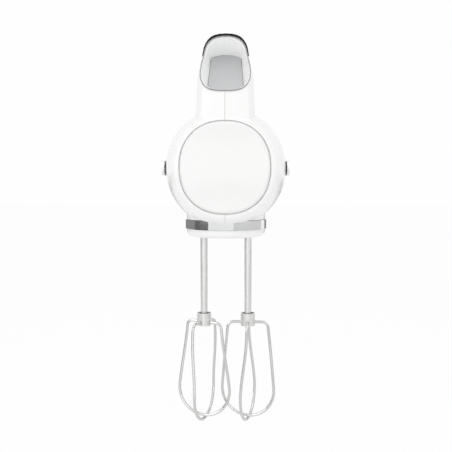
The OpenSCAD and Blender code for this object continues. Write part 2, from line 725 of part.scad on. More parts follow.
module yoke_spring() color("silver") {
    low = cap_top + spring_wire_r + 0.1;
    high = yoke_z - spring_wire_r - 0.1;
    steps = spring_coils * 10;
    lean = (high - low) / (2 * PI * spring_r * spring_coils);
    skin([for (i = [0 : steps])
        let(a = 360 * i / 10, out = [cos(a), sin(a), 0], along = unit([-sin(a), cos(a), lean]))
        ring_at([spring_r * cos(a), spring_r * sin(a), lerp(low, high, i / steps)],
            cross(along, out), out, spring_wire_r, 6)]);
}

module eject_pin(x) {
    rod_z(beater_shaft_r - 0.4, beater_insert + 0.1, pin_head_z, x);
    rod_z(4, spindle_top + eject_travel + 1.2, pin_head_z, x);
}
module left_eject_pin() color("gainsboro") eject_pin(-spindle_x);
module right_eject_pin() color("gainsboro") eject_pin(spindle_x);

// ---- gearbox ---------------------------------------------------------------------------------

spindle_top = 62;
bush_r = spindle_r + 1.6;
frame_low = 36;
frame_t = 3;
frame_x = 31;
frame_front = -21;
frame_back = 27;
pillar_r = 3.5;
pillars = [[-27, -17], [27, -17], [-27, 23], [27, 23]];
gear_low = motor_z - gear_w / 2;

// Cross-section of a worm with two starts: threads of straight flanks round a root circle
thread_half = (pitch / 2 - backlash / 2) / 2;
flank = tan(20);
function thread_turns(r) = 360 * (thread_half - (r - worm_r) * flank) / lead;
root_r = worm_r - dedendum;
tip_r = worm_r + addendum;
worm_section = [for (start = [90, 270])
    each [for (k = [[-90, root_r], [-thread_turns(root_r), root_r], [-thread_turns(worm_r), worm_r],
            [-thread_turns(tip_r), tip_r], [0, tip_r], [thread_turns(tip_r), tip_r],
            [thread_turns(worm_r), worm_r], [thread_turns(root_r), root_r]])
        k[1] * [cos(start + k[0]), sin(start + k[0])]]];

module drive_worm() color("goldenrod") difference() {
    turn = 360 * worm_length / lead;
    along_y(0, motor_z) rotate([0, 0, -turn / 2])
        linear_extrude(worm_length, twist = -turn, slices = ceil(turn / 24), center = true, $fn = 16)
            polygon(worm_section);
    rod_y(motor_shaft_r, -far / 8, far / 8, z = motor_z);
}

// Cross-section of a worm gear, four points a tooth, with a tooth pointing at the worm
function tooth_turns(r) = (thread_half - (r - gear_r) * flank) / r * 180 / PI;
gear_root = gear_r - dedendum;
gear_tip = gear_r + addendum;
gear_section = [for (i = [0 : gear_teeth - 1]) let(a = 360 * i / gear_teeth)
    each [for (k = [[-tooth_turns(gear_root), gear_root], [-tooth_turns(gear_tip), gear_tip],
            [tooth_turns(gear_tip), gear_tip], [tooth_turns(gear_root), gear_root]])
        k[1] * [cos(a + k[0]), sin(a + k[0])]]];
gear_helix = atan(lead / (2 * PI * worm_r));

module worm_gear(x) {
    turn = tan(gear_helix) * gear_w / gear_r * 180 / PI;
    translate([x, 0, 0]) difference() {
        union() {
            translate([0, 0, motor_z]) rotate([0, 0, -turn / 2])
                linear_extrude(gear_w, twist = -turn, slices = 3, center = true) polygon(gear_section);
            rod_z(spindle_r + 3, frame_low + frame_t + 0.3, gear_low + 1);
        }
        rod_z(spindle_r, 0, far);
    }
}
module left_gear() color("ivory") worm_gear(-spindle_x);
module right_gear() color("ivory") worm_gear(spindle_x);

bore_r = beater_shaft_r + running;
lug_reach = spindle_r - 1;
lug_low = 2;
lug_high = 9;
lug_half = 0.9;

module spindle(x) difference() {
    rod_z(spindle_r, -1, spindle_top, x);
    rod_z(bore_r, -far / 4, far / 4, x);
    block([x - lug_reach - 0.15, -lug_half - 0.15, -2],
        [x + lug_reach + 0.15, lug_half + 0.15, lug_high + 0.3]);
}
module left_spindle() color("silver") spindle(-spindle_x);
module right_spindle() color("silver") spindle(spindle_x);

// Sintered bushes: a lower pair in the base cover, a middle pair in the frame, an upper pair in the cap
module spindle_bushes() color("peru") for (x = [-spindle_x, spindle_x])
    for (span = [[2.1, cover_h - fit], [frame_low - 2, frame_low + frame_t], [cap_top - frame_t, cap_top]])
        difference() {
            rod_z(bush_r, span[0], span[1], x);
            rod_z(spindle_r + running, 0, far, x);
        }

frame_bearing_r = 5;
module gear_frame() color("lightsteelblue") difference() {
    union() {
        block([-frame_x, frame_front, frame_low], [frame_x, frame_back, frame_low + frame_t]);
        for (x = [-spindle_x, spindle_x]) rod_z(bush_r + 1.5, frame_low - 2, frame_low + 1, x);
        for (p = pillars) rod_z(pillar_r, frame_low + 1, cap_top - frame_t, p[0], p[1]);
        block([-8, frame_front, frame_low + 1], [8, frame_front + 5, cap_top - frame_t]);
        block([-8, frame_back - 5, frame_low + 1], [8, frame_back, cap_top - frame_t]);
        // arms that carry the motor's core, and legs that the base is screwed to
        for (side = [0, 1]) mirror([side, 0, 0])
            block([stator_half[0] + 0.2, frame_back - 1, frame_low],
                [stator_half[0] + 4, core_y + 14, frame_low + frame_t]);
        for (spot = base_screw_spots) rod_z(4, cover_h, frame_low + 1, spot[0], spot[1]);
    }
    for (spot = base_screw_spots) rod_z(screw_r, 0, frame_low - 8, spot[0], spot[1]);
    for (x = [-spindle_x, spindle_x]) rod_z(bush_r, 0, far, x);
    rod_y(frame_bearing_r, -far / 4, core_y, z = motor_z);
    for (p = pillars) rod_z(screw_r, frame_low + 8, far, p[0], p[1]);
}

module frame_cap() color("lightsteelblue") difference() {
    union() {
        block([-frame_x, frame_front, cap_top - frame_t], [frame_x, frame_back, cap_top]);
        rod_z(guide_boss_r, cap_top - 1, guide_boss_top);
    }
    for (x = [-spindle_x, spindle_x]) rod_z(bush_r, 0, far, x);
    rod_z(guide_r + fit, 0, far);
    for (p = pillars) rod_z(screw_r, 0, far, p[0], p[1]);
}

// Screws of the gear frame and of the base cover
module frame_screws() color("silver") {
    for (p = pillars) {
        rod_z(screw_r - 0.05, frame_low + 12, cap_top + 0.5, p[0], p[1]);
        rod_z(screw_head_r, cap_top + 0.1, cap_top + 2, p[0], p[1]);
    }
    for (spot = base_screw_spots) {
        rod_z(screw_r - 0.05, 0.6, frame_low - 12, spot[0], spot[1]);
        rod_z(screw_head_r, 0.5, 2.1, spot[0], spot[1]);
    }
}

// ---- motor -----------------------------------------------------------------------------------

core_end = core_y + core_length;
stator_half = [25, 21];
winding_depth = 6;
commutator_y = core_end + winding_depth + 4;
commutator_length = 13;
commutator_r = 9;
brush_y = commutator_y + commutator_length / 2;
rear_bearing_y = commutator_y + commutator_length + 6;
shaft_end = rear_bearing_y + 8;
fan_y = frame_back + 5;
fan_w = 10;

module armature_shaft() color("silver") rod_y(motor_shaft_r - 0.01, frame_front - 2, shaft_end, z = motor_z);

module motor_bearings() color("peru") {
    for (span = [[frame_front, frame_front + 5], [frame_back - 5, frame_back]]) difference() {
        rod_y(frame_bearing_r, span[0], span[1], z = motor_z);
        rod_y(motor_shaft_r - 0.01 + running, -far, far, z = motor_z);
    }
    difference() {
        rod_y(frame_bearing_r + 1, rear_bearing_y, rear_bearing_y + 6, z = motor_z);
        rod_y(motor_shaft_r - 0.01 + running, -far, far, z = motor_z);
    }
}

module armature_core() color("slategray") along_y(core_y, motor_z) linear_extrude(core_length) difference() {
    circle(r = armature_r);
    circle(r = motor_shaft_r);
    for (i = [0 : armature_slots - 1]) rotate(360 * i / armature_slots) {
        translate([armature_r - 5, 0]) circle(r = 1.5);
        translate([armature_r - 5, -0.6]) square([6, 1.2]);
    }
}

module armature_windings() color("chocolate") for (y = [core_y - winding_depth - 0.2, core_end + 0.2])
    along_y(y, motor_z) rotate_extrude() polygon([[motor_shaft_r + 2, 0], [armature_r - 4, 0],
        [armature_r - 2, 2], [armature_r - 2, winding_depth - 2],
        [armature_r - 4, winding_depth], [motor_shaft_r + 2, winding_depth]]);

module commutator() color("peru")
    along_y(commutator_y, motor_z) linear_extrude(commutator_length) difference() {
    circle(r = commutator_r);
    circle(r = motor_shaft_r);
    for (i = [0 : armature_slots - 1]) rotate(360 * i / armature_slots)
        translate([commutator_r - 1.2, -0.25]) square([2, 0.5]);
}

module cooling_fan() color("whitesmoke") along_y(fan_y, motor_z) difference() {
    union() {
        cylinder(r = fan_r, h = 1.5);
        cylinder(r = 6, h = fan_w);
        for (i = [0 : fan_blades - 1]) rotate(360 * i / fan_blades)
            translate([4.5, -0.6, 1]) cube([fan_r - 5, 1.2, fan_w - 1]);
    }
    translate([0, 0, -1]) cylinder(r = motor_shaft_r, h = fan_w + 2);
}

module stator_core() color("gray") along_y(core_y, motor_z) linear_extrude(core_length) difference() {
    intersection() {
        square(2 * stator_half, center = true);
        circle(r = norm(stator_half) - 4);
    }
    circle(r = armature_r + air_gap);
    // windows for the coils above and below the poles
    for (s = [-1, 1]) translate([s * (stator_half[0] - 7.5), 0]) square([7, 22], center = true);
}

module field_coils() color("chocolate") for (s = [-1, 1]) difference() {
    translate([s * (stator_half[0] - 7.5), core_y - winding_depth, motor_z - 10.5])
        translate([-3, 0, 0]) cube([6, core_length + 2 * winding_depth, 21]);
    rod_y(armature_r + air_gap, -far, far, z = motor_z);
}

holder_half = [3.6, 3.2];
brush_half = [3, 2.6];
module carbon_brushes() color("dimgray") both_sides() difference() {
    block([commutator_r - 1, brush_y - brush_half[0], motor_z - brush_half[1]],
        [commutator_r + 12, brush_y + brush_half[0], motor_z + brush_half[1]]);
    rod_y(commutator_r + 0.1, -far, far, z = motor_z);
}

module brush_holders() color("gold") both_sides() difference() {
    block([commutator_r + 2, brush_y - holder_half[0] - 0.8, motor_z - holder_half[1] - 0.8],
        [commutator_r + 14, brush_y + holder_half[0] + 0.8, motor_z + holder_half[1] + 0.8]);
    block([commutator_r, brush_y - brush_half[0] - fit, motor_z - brush_half[1] - fit],
        [commutator_r + 12.5, brush_y + brush_half[0] + fit, motor_z + brush_half[1] + fit]);
}

// Bracket behind the stator that carries the rear bearing and the brush holders
module motor_bracket() color("lightsteelblue") {
    difference() {
        union() {
            rod_y(11, rear_bearing_y, rear_bearing_y + 6, z = motor_z);
            block([-stator_half[0], rear_bearing_y, motor_z - 6],
                [stator_half[0], rear_bearing_y + 4, motor_z + 6]);
        }
        rod_y(frame_bearing_r + 1, -far, far, z = motor_z);
    }
    both_sides() {
        block([stator_half[0] - 3, core_end + 0.2, motor_z - 6],
            [stator_half[0], rear_bearing_y + 1, motor_z - 4.2]);
        block([stator_half[0] - 3, core_end + 0.2, motor_z + 4.2],
            [stator_half[0], rear_bearing_y + 1, motor_z + 6]);
    }
}

// ---- beaters ---------------------------------------------------------------------------------

wire_clear = 0.1;
shaft_tip = 2;
wire_gap = 2 * wire_r + 0.15;

module beater_shaft(x) {
    rod_z(beater_shaft_r, -collar_top - collar_h + 1, beater_insert - shaft_tip, x);
    translate([x, 0, beater_insert - shaft_tip])
        cylinder(r1 = beater_shaft_r, r2 = beater_shaft_r - 1, h = shaft_tip);
    block([x - lug_reach, -lug_half, lug_low], [x + lug_reach, lug_half, lug_high]);
}
module left_beater_shaft() color("silver") beater_shaft(-spindle_x);
module right_beater_shaft() color("silver") beater_shaft(spindle_x);

// Cup-shaped collar: a recess round the shaft on top, and four slots that the wires pass through
module beater_collar(x, top_phase) difference() {
    rod_z(collar_r, -collar_top - collar_h, -collar_top, x);
    rod_z(collar_r - 0.9, -collar_top - 2.6, 0, x);
    rod_z(beater_shaft_r + 0.02, -far, far, x);
    for (loop = [0, 1]) translate([x, 0, -wire_top - loop * wire_sink]) rotate([0, 0, top_phase + 90 * loop])
        for (side = [0, 180]) rotate([0, 0, side]) rod_x(wire_r + wire_clear, beater_shaft_r, collar_r + 1);
}
left_top_phase = left_phase - wire_twist;
right_top_phase = right_phase + wire_twist;
module left_beater_collar() color("silver") beater_collar(-spindle_x, left_top_phase);
module right_beater_collar() color("silver") beater_collar(spindle_x, right_top_phase);

// One side of a wire loop as [radius, drop]: straight out of the collar, round the shoulder, down
// the leaning flank and round the bowl to the axis. The second loop hangs one wire lower.
wire_sink = 0;
shoulder_points = 5;
flank_points = 7;
bowl_points = 8;
function loop_side(lower) = let(
        centre = bowl_drop + lower,
        flank_foot = [bowl_r * cos(flank_lean), centre - bowl_r * sin(flank_lean)],
        turn = 90 - flank_lean,
        reach = flank_foot[0] - flank_foot[1] * tan(flank_lean) - shoulder_r * tan(turn / 2),
        flank_head = [reach + shoulder_r * sin(turn), shoulder_r * (1 - cos(turn))])
    [[beater_shaft_r + 0.25, 0], [reach * 0.8, 0],
        for (i = [0 : shoulder_points]) let(a = turn * i / shoulder_points)
            [reach + shoulder_r * sin(a), shoulder_r * (1 - cos(a))],
        for (i = [1 : flank_points]) lerp(flank_head, flank_foot, i / flank_points),
        for (i = [1 : bowl_points]) let(a = -flank_lean + (90 + flank_lean) * i / bowl_points)
            [bowl_r * cos(a), centre + bowl_r * sin(a)]];

// Angle of the wire about the axis at a drop: turned at the top, settled at the bowl
function wire_turn(drop, twist) = twist * (1 - smooth((drop - 6) / (bowl_drop - 4)));

// One loop as a path of points about its own axis
function loop_path(lower, phase, twist) = let(
        side = loop_side(lower),
        down = [for (p = side) let(a = phase + wire_turn(p[1], twist))
            [p[0] * cos(a), p[0] * sin(a), -p[1]]],
        last = len(side) - 2,
        up = [for (i = [last : -1 : 0]) [-down[i][0], -down[i][1], down[i][2]]])
    concat(down, up);

module wire_loop(lower, phase, twist) {
    path = loop_path(lower, phase, twist);
    n = len(path);
    across = [-sin(phase), cos(phase), 0];
    skin([for (i = [0 : n - 1])
        let(along = unit(path[min(n - 1, i + 1)] - path[max(0, i - 1)]),
            side = unit(across - (across * along) * along))
        ring_at(path[i], side, cross(side, along), wire_r, 8)]);
}

module beater_wires(x, phase, twist) translate([x, 0, -wire_top]) {
    wire_loop(0, phase, twist);
    wire_loop(wire_gap, phase + 90, twist);
}
module left_beater_wires() color("silver") beater_wires(-spindle_x, left_phase, -wire_twist);
module right_beater_wires() color("silver") beater_wires(spindle_x, right_phase, wire_twist);

// ---- assembly --------------------------------------------------------------------------------

// Moves a piece from working coordinates to the row's origin, the middle of the grip
module from_grip() translate([0, -grip_mid_y, -grip_mid_z]) children();

from_grip() left_housing();
from_grip() right_housing();
from_grip() nose_disc();
from_grip() base_cover();
from_grip() base_band();
from_grip() scoop_rim();
from_grip() scoop_liner();
from_grip() display_panel();
from_grip() heel_pad();
from_grip() side_badges();
from_grip() cord_gland();
from_grip() housing_screws();
from_grip() eject_paddle();
from_grip() paddle_pin();
from_grip() eject_yoke();
from_grip() yoke_spring();
from_grip() speed_slider();
from_grip() turbo_button();
from_grip() slider_switch();
from_grip() turbo_switch();
from_grip() control_board();
from_grip() display_module();
from_grip() stator_core();
from_grip() field_coils();
from_grip() armature_shaft();
from_grip() armature_core();
from_grip() armature_windings();
from_grip() commutator();
from_grip() carbon_brushes();
from_grip() brush_holders();
from_grip() cooling_fan();
from_grip() motor_bearings();
from_grip() motor_bracket();
from_grip() gear_frame();
from_grip() frame_cap();
from_grip() frame_screws();
from_grip() drive_worm();
from_grip() left_gear();
from_grip() right_gear();
from_grip() left_spindle();
from_grip() right_spindle();
from_grip() spindle_bushes();
from_grip() left_eject_pin();
from_grip() right_eject_pin();
from_grip() left_beater_shaft();
from_grip() right_beater_shaft();
from_grip() left_beater_collar();
from_grip() right_beater_collar();
from_grip() left_beater_wires();
from_grip() right_beater_wires();
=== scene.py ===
import math

import bpy
from mathutils import Matrix, Vector


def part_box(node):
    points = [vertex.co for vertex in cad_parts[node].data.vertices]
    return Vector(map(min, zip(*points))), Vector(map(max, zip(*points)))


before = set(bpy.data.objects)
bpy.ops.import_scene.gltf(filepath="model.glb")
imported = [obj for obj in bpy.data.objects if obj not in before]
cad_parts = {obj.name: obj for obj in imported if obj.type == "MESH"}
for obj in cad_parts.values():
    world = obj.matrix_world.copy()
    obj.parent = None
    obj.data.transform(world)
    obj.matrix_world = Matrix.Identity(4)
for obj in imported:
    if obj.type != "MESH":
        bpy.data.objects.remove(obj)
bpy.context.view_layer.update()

# Gear frame and its cap.
# Two die-cast aluminium plates on four pillars. They carry the spindles and the front of the motor
# shaft, and the lower one stands on legs that the base is screwed to.


class Reading:
    """A value or colour that flows out of a material node, to be reckoned with like a number."""

    def __init__(self, finish, socket):
        self.finish = finish
        self.socket = socket

    def reckon(self, operation, a, b):
        made = self.finish.node("ShaderNodeMath", {"operation": operation}, {0: a, 1: b})
        return made.out()

    def __add__(self, other):
        return self.reckon("ADD", self, other)

    def __rsub__(self, other):
        return self.reckon("SUBTRACT", other, self)

    def __mul__(self, other):
        return self.reckon("MULTIPLY", self, other)

    def __truediv__(self, other):
        return self.reckon("DIVIDE", self, other)

    def __mod__(self, other):
        return self.reckon("FLOORED_MODULO", self, other)

    def __pow__(self, other):
        return self.reckon("POWER", self, other)

    def __gt__(self, other):
        return self.reckon("GREATER_THAN", self, other)

    __radd__ = __add__
    __rmul__ = __mul__


class Made:
    """A material node just laid down; its sockets are taken by name or number."""

    def __init__(self, finish, node):
        self.finish = finish
        self.node = node

    def out(self, which=0):
        return Reading(self.finish, self.node.outputs[which])


class Finish:
    """One material, built on the Principled shader."""

    def __init__(self, name, colour, roughness, metallic=0.0, coat=0.0, specular=0.5):
        self.material = bpy.data.materials.new(name)
        self.material.use_nodes = True
        self.tree = self.material.node_tree
        self.shader = self.tree.nodes["Principled BSDF"]
        self.set("Base Color", (*colour, 1.0))
        self.set("Roughness", roughness)
        self.set("Metallic", metallic)
        self.set("Coat Weight", coat)
        self.set("Specular IOR Level", specular)
        self.material.diffuse_color = (*colour, 1.0)
        self.material.roughness = roughness
        self.material.metallic = metallic

    def give(self, socket, value):
        if isinstance(value, Reading):
            self.tree.links.new(value.socket, socket)
        elif value is not None:
            socket.default_value = value

    def set(self, name, value):
        self.give(self.shader.inputs[name], value)

    def node(self, kind, settings=None, inputs=None):
        made = self.tree.nodes.new(kind)
        for name, value in (settings or {}).items():
            setattr(made, name, value)
        for which, value in (inputs or {}).items():
            self.give(made.inputs[which], value)
        return Made(self, made)

    def place(self):
        return self.node("ShaderNodeTexCoord").out("Object")

    def stretched(self, x, y, z):
        """The place on the piece, squeezed or drawn out along each axis."""
        drawn_out = self.node("ShaderNodeVectorMath", {"operation": "MULTIPLY"}, {0: self.place(), 1: (x, y, z)})
        return drawn_out.out()

    def noise(self, scale, detail=3.0, at=None, rough=0.5):
        made = self.node(
            "ShaderNodeTexNoise", None,
            {"Vector": at or self.place(), "Scale": scale, "Detail": detail, "Roughness": rough})
        return made.out("Fac")

    def between(self, share, low, high):
        """A colour between two, by a share from 0 to 1."""
        made = self.node("ShaderNodeMix", {"data_type": "RGBA"}, {0: share, 6: (*low, 1.0), 7: (*high, 1.0)})
        return made.out(2)

    def along(self, axis):
        return self.node("ShaderNodeSeparateXYZ", None, {0: self.place()}).out(axis)

    def bump(self, height, strength, depth):
        made = self.node("ShaderNodeBump", None, {"Strength": strength, "Distance": depth, "Height": height})
        self.set("Normal", made.out())


def shade(colour, factor):
    return tuple(min(1.0, c * factor) for c in colour)


def dress(finish, *nodes):
    """Gives CAD nodes a finish in all their material slots."""
    for node in nodes:
        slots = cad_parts[node].material_slots
        for slot in slots:
            slot.material = finish.material


def cast(name, colour, roughness):
    """Die-cast metal: dull, faintly mottled, with a fine grain from the die."""
    finish = Finish(name, colour, roughness, metallic=1.0)
    cloud = finish.noise(90.0, 4.0)
    grain = finish.noise(2600.0, 2.0)
    finish.set("Base Color", finish.between(cloud, shade(colour, 0.9), shade(colour, 1.08)))
    finish.set("Roughness", roughness - 0.06 + cloud * 0.14)
    finish.bump(grain, 0.25, 0.00006)
    return finish


dress(cast("die cast aluminium", (0.56, 0.57, 0.58), 0.46), "gear_frame", "frame_cap", "motor_bracket")

# Bushes and bearings.
# Sintered bronze rings pressed into the plates, soaked in oil, with open pores.


def sintered(name, colour):
    """Pressed powder metal: dull, speckled by pores that hold oil."""
    finish = Finish(name, colour, 0.5, metallic=1.0)
    pores = finish.noise(3200.0, 2.0) > 0.6
    finish.set("Base Color", finish.between(pores, colour, shade(colour, 0.45)))
    finish.set("Roughness", 0.5 - pores * 0.2)
    finish.bump(1.0 - pores, 0.3, 0.00004)
    return finish


dress(sintered("sintered bronze", (0.58, 0.36, 0.2)), "spindle_bushes", "motor_bearings")

# Spindles, worm and gears.
# The worm is hardened steel, ground on its flanks and shining with grease. The two gears are moulded
# acetal on hollow steel spindles, one on each side of the worm, so that they turn against each other.


def turned(name, colour, roughness, axis=2, pitch=0.00012):
    """Metal turned or ground on a machine: fine rings about its own axis."""
    finish = Finish(name, colour, roughness, metallic=1.0)
    rings = finish.noise(1.0, 2.0, finish.stretched(*[1.0 / pitch if i == axis else 60.0 for i in range(3)]))
    cloud = finish.noise(120.0, 3.0)
    finish.set("Base Color", finish.between(rings, shade(colour, 0.88), shade(colour, 1.06)))
    finish.set("Roughness", roughness - 0.05 + rings * 0.1 + cloud * 0.06)
    finish.bump(rings, 0.12, 0.00003)
    return finish


def moulded(name, colour, roughness, peel=0.0, coat=0.0, blotch=0.012, grain=900.0):
    """Injection-moulded plastic: even colour with the faintest clouding, and the mould's skin."""
    finish = Finish(name, colour, roughness, coat=coat)
    cloud = finish.noise(28.0, 3.0)
    skin = finish.noise(grain, 3.0)
    finish.set("Base Color", finish.between(cloud, shade(colour, 1.0 - blotch), shade(colour, 1.0 + blotch)))
    finish.set("Roughness", roughness - 0.03 + skin * 0.06)
    finish.bump(skin, 0.18 + peel, 0.00002 + peel * 0.00004)
    return finish


ground_steel = turned("ground steel", (0.62, 0.62, 0.63), 0.22)
dress(ground_steel, "left_spindle", "right_spindle", "paddle_pin")
dress(turned("hardened worm steel", (0.42, 0.42, 0.44), 0.25, axis=1), "drive_worm")
dress(moulded("gear acetal", (0.86, 0.83, 0.72), 0.38, peel=0.1), "left_gear", "right_gear")

# Armature.
# A ground shaft through a stack of enamelled steel laminations, copper windings at both ends, a
# commutator of copper bars and, in front, a moulded fan that draws air over the motor.


def stacked(name, colour, pitch):
    """Stamped sheets stacked along Y: a dark line wherever two of them meet."""
    finish = Finish(name, colour, 0.5, metallic=0.8)
    sheet = (finish.along("Y") / pitch) % 1.0
    joint = sheet > 0.78
    rust = finish.noise(240.0, 4.0)
    tone = finish.between(joint, colour, shade(colour, 0.3))
    finish.set("Base Color", tone)
    finish.set("Roughness", 0.42 + joint * 0.25 + rust * 0.1)
    finish.bump(1.0 - joint, 0.6, 0.00008)
    return finish


def wound(name, colour, pitch):
    """Enamelled copper wire laid side by side and varnished."""
    finish = Finish(name, colour, 0.28, metallic=0.9, coat=0.5)
    finish.set("Coat Roughness", 0.12)
    strands = finish.node(
        "ShaderNodeTexWave", {"wave_type": "RINGS", "rings_direction": "Y", "wave_profile": "SIN"},
        {"Vector": finish.place(), "Scale": 0.314 / pitch,
         "Distortion": 1.2, "Detail": 2.0, "Detail Scale": 1.5})
    lay = strands.out("Fac")
    finish.set("Base Color", finish.between(lay, shade(colour, 0.35), shade(colour, 1.1)))
    finish.bump(lay, 0.7, 0.0002)
    return finish


laminations = stacked("laminated steel", (0.3, 0.31, 0.33), 0.0006)
copper_wire = wound("enamelled copper wire", (0.62, 0.24, 0.09), 0.0006)
dress(turned("motor shaft steel", (0.66, 0.66, 0.67), 0.18, axis=1), "armature_shaft")
dress(laminations, "armature_core", "stator_core")
dress(copper_wire, "armature_windings", "field_coils")
dress(turned("commutator copper", (0.66, 0.34, 0.17), 0.3, axis=1), "commutator")
dress(moulded("fan nylon", (0.8, 0.81, 0.79), 0.5, peel=0.1), "cooling_fan")

# Brushes and their holders.
# Two carbon blocks slide in folded brass tubes and press on the commutator from both sides.


def stamped_brass(name, colour):
    finish = Finish(name, colour, 0.3, metallic=1.0)
    tarnish = finish.noise(160.0, 5.0)
    finish.set("Base Color", finish.between(tarnish, shade(colour, 0.72), shade(colour, 1.08)))
    finish.set("Roughness", 0.2 + tarnish * 0.25)
    finish.bump(finish.noise(1500.0, 2.0), 0.1, 0.00003)
    return finish


dress(moulded("carbon", (0.035, 0.035, 0.037), 0.62, peel=0.4, blotch=0.25), "carbon_brushes")
dress(stamped_brass("brass sheet", (0.74, 0.53, 0.24)), "brush_holders")

# Eject train.
# The yoke and the two eject pins are white acetal. The spring is drawn wire, and the paddle at the
# back of the scoop is satin grey, with painted shade darkening it towards its top, under the roof of
# the scoop, so that it is paler towards its foot.
acetal = moulded("white acetal", (0.82, 0.82, 0.8), 0.42, peel=0.1)
paddle_grey = moulded("satin grey paddle", (0.53, 0.535, 0.54), 0.42, peel=0.25, grain=1600.0)
dress(acetal, "eject_yoke", "left_eject_pin", "right_eject_pin")
dress(turned("spring wire", (0.4, 0.4, 0.41), 0.3), "yoke_spring")
paddle_foot, paddle_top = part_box("eject_paddle")
# Painted shade: the paddle's base colour runs from dark grey at its top, where the scoop's roof shades it, to
# pale grey at its foot, with a faint random clouding.
down_paddle = (paddle_top.z - paddle_grey.along("Z")) / (paddle_top.z - paddle_foot.z)
painted_shade_share = down_paddle ** 3.0 + paddle_grey.noise(28.0, 3.0) * 0.03
paddle_grey.set("Base Color", paddle_grey.between(painted_shade_share, (0.5, 0.505, 0.51), (0.765, 0.77, 0.775)))
dress(paddle_grey, "eject_paddle")

# Controls in the grip.
# A lacquered board with the switches and the display behind the gloss panel, a ribbed thumb slider
# and a round turbo button, both bright-plated.


def lacquered_board(name, green, copper):
    """Green solder mask over copper tracks, with bare pads."""
    finish = Finish(name, green, 0.3, coat=0.4)
    tracks = finish.node(
        "ShaderNodeTexVoronoi", {"feature": "DISTANCE_TO_EDGE", "distance": "MANHATTAN"},
        {"Vector": finish.place(), "Scale": 260.0}).out("Distance")
    line = 1.0 - (tracks > 0.06)
    finish.set("Base Color", finish.between(line, green, copper))
    finish.bump(line, 0.3, 0.00003)
    return finish


plated = Finish("bright plating", (0.86, 0.87, 0.88), 0.08, metallic=1.0)
plated_smear = plated.noise(70.0, 4.0)
plated.set("Roughness", 0.05 + plated_smear * 0.08)
plated.set("Base Color", plated.between(plated_smear, (0.82, 0.83, 0.84), (0.9, 0.905, 0.91)))
dress(lacquered_board("board lacquer", (0.02, 0.16, 0.06), (0.05, 0.3, 0.12)), "control_board")
dress(moulded("switch black", (0.03, 0.03, 0.032), 0.5, peel=0.2, blotch=0.1),
      "slider_switch", "turbo_switch", "display_module")
dress(plated, "speed_slider", "turbo_button")

# Housing halves.
# Two glossy white mouldings that meet along the middle with a hairline gap, and close round all of
# the works. The nose disc, the oval base and the rear pad are fixed to them.
shell_white = moulded("glossy white shell", (0.9, 0.9, 0.895), 0.24, coat=0.25, blotch=0.004)
shell_white.set("Coat Roughness", 0.08)
dress(shell_white, "left_housing", "right_housing", "base_cover")
disc_white = moulded("white disc lacquer", (0.845, 0.845, 0.84), 0.2, coat=0.35, blotch=0.004)
disc_white.set("Coat Roughness", 0.06)
dress(disc_white, "nose_disc")

# Scoop.
# A pale satin liner fills the front of the head, with a fine grey bead on its edge. The gloss black
# panel is an arch over the top of the head, and shows as a dark crescent from the front.
dress(moulded("pale satin liner", (0.95, 0.952, 0.952), 0.4, peel=0.15, grain=1400.0), "scoop_liner")
dress(turned("bead plating", (0.32, 0.32, 0.33), 0.3), "scoop_rim")
panel_black = moulded("gloss black panel", (0.012, 0.012, 0.013), 0.16, blotch=0.05)
panel_black.set("Specular IOR Level", 0.1)
dress(panel_black, "display_panel")

# Trim.
# Bright band round the base, plain bright pills on the sides, a soft heel to stand on, the gland for
# the cord and the steel screws.
chrome = Finish("chrome", (0.87, 0.875, 0.88), 0.05, metallic=1.0)
chrome_smear = chrome.noise(45.0, 4.0)
chrome.set("Roughness", 0.04 + chrome_smear * 0.07)
chrome.set("Base Color", chrome.between(chrome_smear, (0.84, 0.845, 0.85), (0.89, 0.895, 0.9)))
dress(chrome, "base_band")
dress(turned("satin plating", (0.82, 0.825, 0.83), 0.42, axis=1), "side_badges")
dress(moulded("soft heel", (0.4, 0.41, 0.42), 0.7, peel=0.5, blotch=0.04, grain=2200.0), "heel_pad")
dress(moulded("gland nylon", (0.7, 0.7, 0.7), 0.5, peel=0.3), "cord_gland")
dress(turned("screw steel", (0.5, 0.5, 0.51), 0.32), "housing_screws", "frame_screws")

# Beaters.
# Each is a steel shaft with a turned collar that grips four wire ends. Two bent loops of satin
# stainless wire cross at the bottom.


def drawn(name, colour, roughness):
    """Stainless wire and rod after tumbling: satin, with fine scratches along and across."""
    finish = Finish(name, colour, roughness, metallic=1.0)
    fine = finish.noise(1.0, 3.0, finish.stretched(2600.0, 2600.0, 500.0))
    cloud = finish.noise(140.0, 3.0)
    finish.set("Base Color", finish.between(fine, shade(colour, 0.92), shade(colour, 1.05)))
    finish.set("Roughness", roughness - 0.05 + cloud * 0.12)
    finish.bump(fine, 0.12, 0.00003)
    return finish


beater_steel = drawn("satin stainless", (0.73, 0.73, 0.725), 0.3)
dress(beater_steel, "left_beater_shaft", "right_beater_shaft", "left_beater_collar", "right_beater_collar")
dress(drawn("stainless wire", (0.62, 0.62, 0.615), 0.26), "left_beater_wires", "right_beater_wires")

# Smooth shading.
# Curved faces of every CAD node are shaded round, and edges sharper than 28 degrees stay crisp.
crisp_angle = math.radians(28.0)
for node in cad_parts.values():
    node.data.shade_smooth()
    node.data.set_sharp_from_angle(angle=crisp_angle)

# Studio.
# A white room: an even white surround, a large soft lamp above and in front, a low one in front, one
# on each side, and grey cards round the object that only mirrors see.
cover_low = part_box("base_cover")[0]
spindle_low, spindle_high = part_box("left_spindle")
wires_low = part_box("left_beater_wires")[0]
base_z = cover_low.z
spindle_y = (spindle_low.y + spindle_high.y) / 2
aim = Vector((0.0, spindle_y, base_z))

